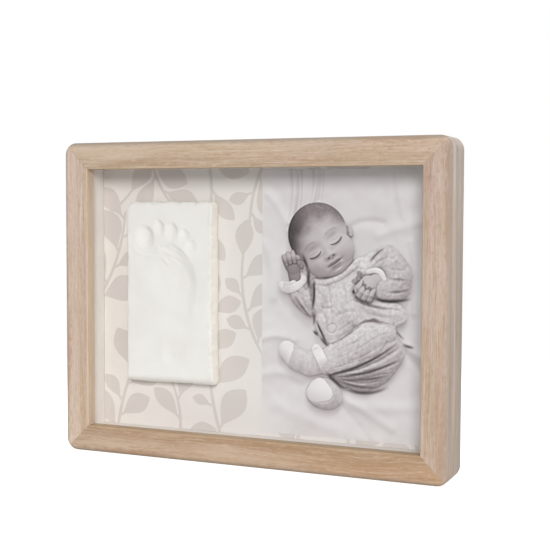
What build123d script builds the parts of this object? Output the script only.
from build123d import *
import os

os.makedirs("parts", exist_ok=True)

# ---------------------------------------------------------------- driving dimensions, mm
# X to the right seen from the front, Y from the front to the back, Z up.
# z = 0 is the underside of the bottom rail, y = 0 the middle of the rail depth.

# frame rails
frame_w = 234.7
frame_h = 182.6
rail_depth = 25.0
rail_face = 15.5  # rail width seen from the front
corner_r = 7.0  # outer corners
front_r = 2.0  # rounding of the outer front edge
back_r = 0.8  # easing of the outer back edge
lip_r = 0.6  # easing of the window edge
lip_depth = 7.3  # lip, front to back
rebate = 6.0  # rebate behind the lip
mitre_gap = 0.06  # hairline between two rails

# stack behind the lip
pane_t = 2.0
spacer_t = 3.8
spacer_low_t = 4.2  # the bottom one is thicker
spacer_depth = 12.7
card_t = 0.5
panel_t = 2.3
slip = 0.4  # clearance of pane, card and panel in the rebate
spacer_slip = 0.1

# photo print
print_w = 100.0
print_h = 150.0
print_t = 0.26
print_x = 51.55
print_tape_t = 0.12

# clay cast
cast_w = 56.0
cast_h = 107.0
cast_t = 8.0
cast_x = -54.4
cast_z = 94.8
cast_roll_r = 3.2  # upper and lower front edges
cast_edge_r = 0.8  # all edges of the two long sides
foam_t = 1.0

# turn buttons and their screws
button_t = 0.9
button_gap = 0.05
button_reach = 13.0
button_root_r = 4.6
button_tip_r = 3.4
button_bore_r = 1.6
button_inset = 4.8  # pivot from the outer edge of the rail
button_x_top = 58.0
button_x_bottom = 78.0
screw_collar_r = 1.53
screw_core_r = 1.25
screw_len = 8.0
screw_head_r = 2.8
screw_head_h = 1.5

# v-nails
v_leg = 4.4
v_t = 0.5
v_depth = 7.0
v_sunk = 0.2
v_insets = (3.6, 6.9)

# sawtooth hanger and nails
hanger_half = 23.0
hanger_flat = 16.5
hanger_top_half = 13.5
hanger_t = 0.8
hanger_rise = 2.4
hanger_h = 8.0
hanger_z = frame_h - 9.0
tooth_pitch = 3.0
tooth_h = 1.7
nail_x = 19.8
nail_r = 0.7
nail_len = 9.0
nail_head_r = 1.7
nail_head_t = 0.6

# strut and hinge
hinge_z = 150.0
barrel_r = 1.7
pin_r = 0.9
pin_bore_r = 0.96
leaf_t = 0.8
leaf_w = 40.0
leaf_h = 14.0
middle_half = 8.0  # half length of the middle knuckle
knuckle_gap = 0.2
barrel_clear = 0.5
stop_angle = 30.0
stop_w = 12.0
stop_h = 7.0
strut_t = 2.5
strut_top_w = 48.0
strut_foot_w = 64.0
strut_foot_z = 2.5
strut_clear = 0.2  # strut behind the rails
strut_corner_r = 4.0
rivet_x = 13.0
rivet_dz = 8.5
rivet_r = 1.5
rivet_head_r = 2.7
rivet_head_h = 1.1

# ---------------------------------------------------------------- derived positions
y_front = -rail_depth / 2
y_back = rail_depth / 2
mid_z = frame_h / 2
open_w = frame_w - 2 * rail_face
open_h = frame_h - 2 * rail_face
seat_w = open_w + 2 * rebate
seat_h = open_h + 2 * rebate
y_pane = y_front + lip_depth
y_spacer = y_pane + pane_t
y_card = y_spacer + spacer_depth
y_panel = y_card + card_t
y_panel_back = y_panel + panel_t
spacer_out_x = seat_w / 2 - spacer_slip
spacer_out_z = seat_h / 2 - spacer_slip
y_strut = y_back + strut_clear
y_strut_back = y_strut + strut_t
hinge_y = y_panel_back + 0.15 + barrel_r
strut_top_z = hinge_z - barrel_r - 0.9

# pivots of the turn buttons: x, z, direction of the free end
buttons = {
    "turn_button_tl": (-button_x_top, frame_h - button_inset, -1),
    "turn_button_tr": (button_x_top, frame_h - button_inset, -1),
    "turn_button_bl": (-button_x_bottom, button_inset, 1),
    "turn_button_br": (button_x_bottom, button_inset, 1),
}
pivots = [(x, z) for x, z, _ in buttons.values()]
nail_spots = [(-nail_x, hanger_z + hanger_h / 2), (nail_x, hanger_z + hanger_h / 2)]

# outlines of the v-nails, two to a mitre, seen from the back
v_outlines = []
for sx in (-1, 1):
    for sz in (-1, 1):
        for inset in v_insets:
            ax = sx * (frame_w / 2 - inset)
            az = mid_z + sz * (frame_h / 2 - inset)
            v_outlines.append(
                [
                    (ax, az),
                    (ax - sx * v_leg, az),
                    (ax - sx * v_leg, az - sz * v_t),
                    (ax - sx * v_t, az - sz * v_t),
                    (ax - sx * v_t, az - sz * v_leg),
                    (ax, az - sz * v_leg),
                ]
            )


def at_y(y):
    """Upright plane at depth y: local x is X, local y is Z, its normal looks to the front."""
    return Plane.XZ.offset(-y)


# ---------------------------------------------------------------- mitred, rebated rails
reach = 30.0
over = 5.0
g = mitre_gap / 2 * 2**0.5
half_w = frame_w / 2
wedges = {
    "rail_top": [
        (-half_w - over + g, frame_h + over),
        (half_w + over - g, frame_h + over),
        (half_w - reach - g, frame_h - reach),
        (-half_w + reach + g, frame_h - reach),
    ],
    "rail_bottom": [
        (-half_w - over + g, -over),
        (half_w + over - g, -over),
        (half_w - reach - g, reach),
        (-half_w + reach + g, reach),
    ],
    "rail_left": [
        (-half_w - over, -over + g),
        (-half_w - over, frame_h + over - g),
        (-half_w + reach, frame_h - reach - g),
        (-half_w + reach, reach + g),
    ],
    "rail_right": [
        (half_w + over, -over + g),
        (half_w + over, frame_h + over - g),
        (half_w - reach, frame_h - reach - g),
        (half_w - reach, reach + g),
    ],
}
for rail_name, wedge in wedges.items():
    with BuildPart() as rail:
        with BuildSketch(at_y(y_back)):
            with Locations((0, mid_z)):
                RectangleRounded(frame_w, frame_h, corner_r)
                Rectangle(open_w, open_h, mode=Mode.SUBTRACT)
        extrude(amount=rail_depth)
        front_face = rail.faces().sort_by(Axis.Y)[0]
        fillet(front_face.outer_wire().edges(), radius=front_r)
        front_face = rail.faces().sort_by(Axis.Y)[0]
        fillet(front_face.inner_wires()[0].edges(), radius=lip_r)
        back_face = rail.faces().sort_by(Axis.Y)[-1]
        fillet(back_face.outer_wire().edges(), radius=back_r)
        with BuildSketch(at_y(y_back)):
            with Locations((0, mid_z)):
                Rectangle(seat_w, seat_h)
        extrude(amount=rail_depth - lip_depth, mode=Mode.SUBTRACT)
        with BuildSketch(at_y(y_back + over)):
            with BuildLine():
                Polyline(*wedge, close=True)
            make_face()
        extrude(amount=rail_depth + 2 * over, mode=Mode.INTERSECT)
        # slots of the v-nails
        with BuildSketch(at_y(y_back)):
            for outline in v_outlines:
                with BuildLine():
                    Polyline(*outline, close=True)
                make_face()
        extrude(amount=v_sunk + v_depth, mode=Mode.SUBTRACT)
        # pilot holes of the button screws and of the hanger nails
        with BuildSketch(at_y(y_back)):
            with Locations(*pivots):
                Circle(screw_core_r + 0.02)
        extrude(amount=screw_len + 0.2, mode=Mode.SUBTRACT)
        with BuildSketch(at_y(y_back)):
            with Locations(*nail_spots):
                Circle(nail_r + 0.02)
        extrude(amount=nail_len + 0.2, mode=Mode.SUBTRACT)
    rail.part.label = rail_name
    export_step(rail.part, f"parts/{rail_name}.step")

# ---------------------------------------------------------------- v-nails of the mitres
with BuildPart() as v_nails:
    with BuildSketch(at_y(y_back - v_sunk)):
        for outline in v_outlines:
            with BuildLine():
                Polyline(*outline, close=True)
            make_face()
    extrude(amount=v_depth)
v_nails.part.label = "v_nails"
export_step(v_nails.part, "parts/v_nails.step")

# ---------------------------------------------------------------- clear pane
with BuildPart() as glazing:
    with BuildSketch(at_y(y_pane + pane_t)):
        with Locations((0, mid_z)):
            Rectangle(seat_w - 2 * slip, seat_h - 2 * slip)
    extrude(amount=pane_t)
    chamfer(glazing.edges().filter_by(Axis.Y, reverse=True), length=0.2)
glazing.part.label = "glazing"
export_step(glazing.part, "parts/glazing.step")

# ---------------------------------------------------------------- spacers between pane and card
side_low = mid_z - spacer_out_z + spacer_low_t + 0.05
side_top = mid_z + spacer_out_z - spacer_t - 0.05
side_mid = (side_low + side_top) / 2
spacers = {
    "spacer_top": (0, mid_z + spacer_out_z - spacer_t / 2, 2 * spacer_out_x, spacer_t),
    "spacer_bottom": (0, mid_z - spacer_out_z + spacer_low_t / 2, 2 * spacer_out_x, spacer_low_t),
    "spacer_left": (-spacer_out_x + spacer_t / 2, side_mid, spacer_t, side_top - side_low),
    "spacer_right": (spacer_out_x - spacer_t / 2, side_mid, spacer_t, side_top - side_low),
}
for spacer_name, (sx, sz, sw, sh) in spacers.items():
    with BuildPart() as spacer:
        with BuildSketch(at_y(y_card)):
            with Locations((sx, sz)):
                Rectangle(sw, sh)
        extrude(amount=spacer_depth)
    spacer.part.label = spacer_name
    export_step(spacer.part, f"parts/{spacer_name}.step")

# ---------------------------------------------------------------- backing card
with BuildPart() as printed_card:
    with BuildSketch(at_y(y_panel)):
        with Locations((0, mid_z)):
            Rectangle(seat_w - 2 * slip, seat_h - 2 * slip)
    extrude(amount=card_t)
printed_card.part.label = "printed_card"
export_step(printed_card.part, "parts/printed_card.step")

# ---------------------------------------------------------------- photo print on two strips of tape
with BuildPart() as photo_tape:
    with BuildSketch(at_y(y_card)):
        with Locations((print_x, mid_z - 58), (print_x, mid_z + 58)):
            Rectangle(82, 12)
    extrude(amount=print_tape_t)
photo_tape.part.label = "photo_tape"
export_step(photo_tape.part, "parts/photo_tape.step")

with BuildPart() as photo_print:
    with BuildSketch(at_y(y_card - print_tape_t)):
        with Locations((print_x, mid_z)):
            Rectangle(print_w, print_h)
    extrude(amount=print_t)
photo_print.part.label = "photo_print"
export_step(photo_print.part, "parts/photo_print.step")

# ---------------------------------------------------------------- clay cast on four foam pads
with BuildPart() as cast_tape:
    with BuildSketch(at_y(y_card)):
        with Locations((cast_x, cast_z)):
            with GridLocations(30, 70, 2, 2):
                Rectangle(14, 18)
    extrude(amount=foam_t)
cast_tape.part.label = "cast_tape"
export_step(cast_tape.part, "parts/cast_tape.step")

y_cast_back = y_card - foam_t
y_cast = y_cast_back - cast_t
# toe pits: x, z, rim radius, depth
toes = [
    (-71.2, 125.9, 5.2, 2.2),
    (-60.5, 132.7, 3.2, 1.4),
    (-52.8, 131.0, 3.6, 1.5),
    (-43.2, 128.4, 3.1, 1.2),
    (-37.2, 124.0, 2.9, 1.1),
]
# sole pits: x, z, half width, half height, depth
soles = [
    (-52.6, 107.5, 15.5, 13.5, 1.8),
    (-50.6, 86.0, 11.0, 25.0, 1.3),
    (-51.0, 62.5, 9.0, 11.5, 1.6),
]
with BuildPart() as clay_cast:
    # side view, rolled over at the top and the bottom
    with BuildSketch(Plane.YZ.offset(cast_x - cast_w / 2)) as slab:
        with Locations((y_cast + cast_t / 2, cast_z)):
            Rectangle(cast_t, cast_h)
        fillet(slab.vertices().sort_by(Axis.X)[:2], radius=cast_roll_r)
    extrude(amount=cast_w)
    fillet(clay_cast.faces().sort_by(Axis.X)[0].edges(), radius=cast_edge_r)
    fillet(clay_cast.faces().sort_by(Axis.X)[-1].edges(), radius=cast_edge_r)
    for tx, tz, rim, deep in toes:
        ball = (rim**2 + deep**2) / (2 * deep)
        with Locations((tx, y_cast + deep - ball, tz)):
            Sphere(ball, mode=Mode.SUBTRACT)
    for fx, fz, fw, fh, deep in soles:
        # shallow spheroid, round about an axis along Z
        ball = (fw**2 + deep**2) / (2 * deep)
        tall = fh / (1 - ((ball - deep) / ball) ** 2) ** 0.5
        with BuildSketch(Plane(origin=(fx, y_cast + deep - ball, fz), x_dir=(0, 1, 0), z_dir=(1, 0, 0))):
            Ellipse(ball, tall)
            with Locations((-2 * ball, 0)):
                Rectangle(4 * ball, 4 * tall, mode=Mode.SUBTRACT)
        revolve(axis=Axis((fx, y_cast + deep - ball, fz), (0, 0, 1)), mode=Mode.SUBTRACT)
clay_cast.part.label = "clay_cast"
export_step(clay_cast.part, "parts/clay_cast.step")

# ---------------------------------------------------------------- back panel
panel_rivets = [(-rivet_x, hinge_z + rivet_dz), (rivet_x, hinge_z + rivet_dz)]
strut_rivets = [(-rivet_x, hinge_z - rivet_dz), (rivet_x, hinge_z - rivet_dz)]
with BuildPart() as back_panel:
    with BuildSketch(at_y(y_panel_back)):
        with Locations((0, mid_z)):
            Rectangle(seat_w - 2 * slip, seat_h - 2 * slip)
        with Locations(*panel_rivets):
            Circle(rivet_r + 0.02, mode=Mode.SUBTRACT)
    extrude(amount=panel_t)
back_panel.part.label = "back_panel"
export_step(back_panel.part, "parts/back_panel.step")

# ---------------------------------------------------------------- turn buttons
y_button = y_back + button_gap
y_button_back = y_button + button_t
for button_name, (bx, bz, way) in buttons.items():
    with BuildPart() as button:
        with BuildSketch(at_y(y_button_back)):
            with Locations((bx, bz)):
                Circle(button_root_r)
            with Locations((bx, bz + way * button_reach)):
                Circle(button_tip_r)
            make_hull()
        extrude(amount=button_t)
        fillet(button.faces().sort_by(Axis.Y)[-1].outer_wire().edges(), radius=0.3)
        # stiffening rib
        with BuildSketch(at_y(y_button_back)):
            with Locations((bx, bz + way * 8.4)):
                SlotCenterToCenter(6.0, 2.0, rotation=90)
        extrude(amount=-0.5)
        fillet(button.faces().sort_by(Axis.Y)[-1].outer_wire().edges(), radius=0.4)
        with BuildSketch(at_y(y_button_back)):
            with Locations((bx, bz)):
                Circle(button_bore_r)
        extrude(amount=button_t, mode=Mode.SUBTRACT)
    button.part.label = button_name
    export_step(button.part, f"parts/{button_name}.step")

# ---------------------------------------------------------------- button screws
y_head = y_button_back + button_gap
with BuildPart() as button_screws:
    with BuildSketch(at_y(y_head + screw_head_h)):
        with Locations(*pivots):
            Circle(screw_head_r)
    extrude(amount=screw_head_h)
    fillet(button_screws.edges().group_by(Axis.Y)[-1], radius=0.95)
    with BuildSketch(at_y(y_head)):
        with Locations(*pivots):
            Circle(screw_collar_r)
    extrude(amount=y_head - y_back)
    with BuildSketch(at_y(y_back)):
        with Locations(*pivots):
            Circle(screw_core_r)
    extrude(amount=screw_len)
    chamfer(button_screws.edges().group_by(Axis.Y)[0], length=0.9)
    # cross recess
    with BuildSketch(at_y(y_head + screw_head_h)):
        with Locations(*pivots):
            Rectangle(2.6, 0.6, rotation=20)
            Rectangle(2.6, 0.6, rotation=110)
    extrude(amount=0.8, mode=Mode.SUBTRACT)
button_screws.part.label = "button_screws"
export_step(button_screws.part, "parts/button_screws.step")

# ---------------------------------------------------------------- sawtooth hanger
teeth = int(2 * (hanger_top_half - 1.5) / tooth_pitch)
saw_half = teeth * tooth_pitch / 2
with BuildPart() as sawtooth_hanger:
    with BuildSketch(Plane.XY.offset(hanger_z)):
        with BuildLine():
            Polyline(
                (-hanger_half, y_back),
                (-hanger_flat - 0.3, y_back),
                (-hanger_top_half - 0.3, y_back + hanger_rise),
                (hanger_top_half + 0.3, y_back + hanger_rise),
                (hanger_flat + 0.3, y_back),
                (hanger_half, y_back),
                (hanger_half, y_back + hanger_t),
                (hanger_flat, y_back + hanger_t),
                (hanger_top_half, y_back + hanger_rise + hanger_t),
                (-hanger_top_half, y_back + hanger_rise + hanger_t),
                (-hanger_flat, y_back + hanger_t),
                (-hanger_half, y_back + hanger_t),
                close=True,
            )
        make_face()
    extrude(amount=hanger_h)
    fillet(sawtooth_hanger.edges().filter_by(Axis.Y), radius=2.0)
    with BuildSketch(at_y(y_back + hanger_rise + hanger_t + 0.2)):
        with BuildLine():
            saw = [(-saw_half, hanger_z - 1.0), (-saw_half, hanger_z)]
            for k in range(teeth):
                saw.append((-saw_half + (k + 0.5) * tooth_pitch, hanger_z + tooth_h))
                saw.append((-saw_half + (k + 1) * tooth_pitch, hanger_z))
            saw.append((saw_half, hanger_z - 1.0))
            Polyline(*saw, close=True)
        make_face()
    extrude(amount=hanger_t + 0.4, mode=Mode.SUBTRACT)
    with BuildSketch(at_y(y_back + hanger_t)):
        with Locations(*nail_spots):
            Circle(nail_r + 0.04)
    extrude(amount=hanger_t, mode=Mode.SUBTRACT)
sawtooth_hanger.part.label = "sawtooth_hanger"
export_step(sawtooth_hanger.part, "parts/sawtooth_hanger.step")

with BuildPart() as hanger_nails:
    with BuildSketch(at_y(y_back + hanger_t + nail_head_t)):
        with Locations(*nail_spots):
            Circle(nail_head_r)
    extrude(amount=nail_head_t)
    fillet(hanger_nails.edges().group_by(Axis.Y)[-1], radius=0.3)
    with BuildSketch(at_y(y_back + hanger_t)):
        with Locations(*nail_spots):
            Circle(nail_r)
    extrude(amount=hanger_t + nail_len)
    chamfer(hanger_nails.edges().group_by(Axis.Y)[0], length=0.6)
hanger_nails.part.label = "hanger_nails"
export_step(hanger_nails.part, "parts/hanger_nails.step")

# ---------------------------------------------------------------- easel strut
with BuildPart() as strut:
    with BuildSketch(at_y(y_strut_back)):
        with BuildLine():
            Polyline(
                (-strut_top_w / 2, strut_top_z),
                (strut_top_w / 2, strut_top_z),
                (strut_foot_w / 2, strut_foot_z),
                (-strut_foot_w / 2, strut_foot_z),
                close=True,
            )
        make_face()
    extrude(amount=strut_t)
    fillet(strut.edges().filter_by(Axis.Y), radius=strut_corner_r)
    with BuildSketch(at_y(y_strut_back)):
        with Locations(*strut_rivets):
            Circle(rivet_r + 0.02)
    extrude(amount=strut_t, mode=Mode.SUBTRACT)
strut.part.label = "strut"
export_step(strut.part, "parts/strut.step")

# ---------------------------------------------------------------- hinge of the strut
clear = barrel_r + barrel_clear
with BuildPart() as hinge_leaf_panel:
    with BuildSketch(Plane.YZ.offset(-leaf_w / 2)):
        with Locations((hinge_y, hinge_z)):
            Circle(barrel_r)
    extrude(amount=leaf_w)
    with BuildSketch(at_y(y_panel_back + leaf_t)):
        with Locations((0, hinge_z + leaf_h / 2)):
            Rectangle(leaf_w, leaf_h)
        with Locations(*panel_rivets):
            Circle(rivet_r + 0.02, mode=Mode.SUBTRACT)
    extrude(amount=leaf_t)
    # room for the middle knuckle
    with BuildSketch(Plane.YZ.offset(-middle_half)):
        with Locations((hinge_y, hinge_z)):
            Rectangle(2 * clear, 2 * clear)
    extrude(amount=2 * middle_half, mode=Mode.SUBTRACT)
    with BuildSketch(Plane.YZ.offset(-leaf_w / 2)):
        with Locations((hinge_y, hinge_z)):
            Circle(pin_bore_r)
    extrude(amount=leaf_w, mode=Mode.SUBTRACT)
    fillet(hinge_leaf_panel.edges().filter_by(Axis.Y).group_by(Axis.Z)[-1], radius=2.5)
hinge_leaf_panel.part.label = "hinge_leaf_panel"
export_step(hinge_leaf_panel.part, "parts/hinge_leaf_panel.step")

knuckle_half = middle_half - knuckle_gap
tip = Plane(origin=(0, hinge_y, hinge_z), x_dir=(1, 0, 0), z_dir=(0, 0, 1)).rotated((-stop_angle, 0, 0))
stop_face = y_panel_back + leaf_t + 0.06 - hinge_y  # front of the stop tab, measured when it stands upright
with BuildPart() as hinge_leaf_strut:
    with BuildSketch(Plane.YZ.offset(-knuckle_half)):
        with Locations((hinge_y, hinge_z)):
            Circle(barrel_r)
    extrude(amount=2 * knuckle_half)
    with BuildSketch(at_y(y_strut_back + leaf_t)):
        with Locations((0, hinge_z - leaf_h / 2)):
            Rectangle(leaf_w, leaf_h)
        with Locations((-leaf_w / 2, hinge_z), (leaf_w / 2, hinge_z)):
            Rectangle(leaf_w - 2 * knuckle_half, 2 * clear, mode=Mode.SUBTRACT)
        with Locations(*strut_rivets):
            Circle(rivet_r + 0.02, mode=Mode.SUBTRACT)
    extrude(amount=leaf_t)
    # stop tab, leaning back by the opening angle
    with BuildSketch(tip):
        with Locations((0, stop_face + leaf_t / 2)):
            Rectangle(stop_w, leaf_t)
    extrude(amount=stop_h)
    with BuildSketch(Plane.YZ.offset(-knuckle_half)):
        with Locations((hinge_y, hinge_z)):
            Circle(pin_bore_r)
    extrude(amount=2 * knuckle_half, mode=Mode.SUBTRACT)
    fillet(hinge_leaf_strut.edges().filter_by(Axis.Y).group_by(Axis.Z)[0], radius=2.5)
hinge_leaf_strut.part.label = "hinge_leaf_strut"
export_step(hinge_leaf_strut.part, "parts/hinge_leaf_strut.step")

with BuildPart() as hinge_pin:
    with BuildSketch(Plane.YZ.offset(-leaf_w / 2 - 0.4)):
        with Locations((hinge_y, hinge_z)):
            Circle(pin_r)
    extrude(amount=leaf_w + 0.8)
    chamfer(hinge_pin.edges(), length=0.2)
hinge_pin.part.label = "hinge_pin"
export_step(hinge_pin.part, "parts/hinge_pin.step")

with BuildPart() as hinge_rivets_panel:
    with BuildSketch(at_y(y_panel_back + leaf_t + rivet_head_h)):
        with Locations(*panel_rivets):
            Circle(rivet_head_r)
    extrude(amount=rivet_head_h)
    fillet(hinge_rivets_panel.edges().group_by(Axis.Y)[-1], radius=1.0)
    with BuildSketch(at_y(y_panel_back + leaf_t)):
        with Locations(*panel_rivets):
            Circle(rivet_r)
    extrude(amount=leaf_t + panel_t)
hinge_rivets_panel.part.label = "hinge_rivets_panel"
export_step(hinge_rivets_panel.part, "parts/hinge_rivets_panel.step")

with BuildPart() as hinge_rivets_strut:
    with BuildSketch(at_y(y_strut_back + leaf_t + rivet_head_h)):
        with Locations(*strut_rivets):
            Circle(rivet_head_r)
    extrude(amount=rivet_head_h)
    fillet(hinge_rivets_strut.edges().group_by(Axis.Y)[-1], radius=1.0)
    with BuildSketch(at_y(y_strut_back + leaf_t)):
        with Locations(*strut_rivets):
            Circle(rivet_r)
    extrude(amount=leaf_t + strut_t)
hinge_rivets_strut.part.label = "hinge_rivets_strut"
export_step(hinge_rivets_strut.part, "parts/hinge_rivets_strut.step")
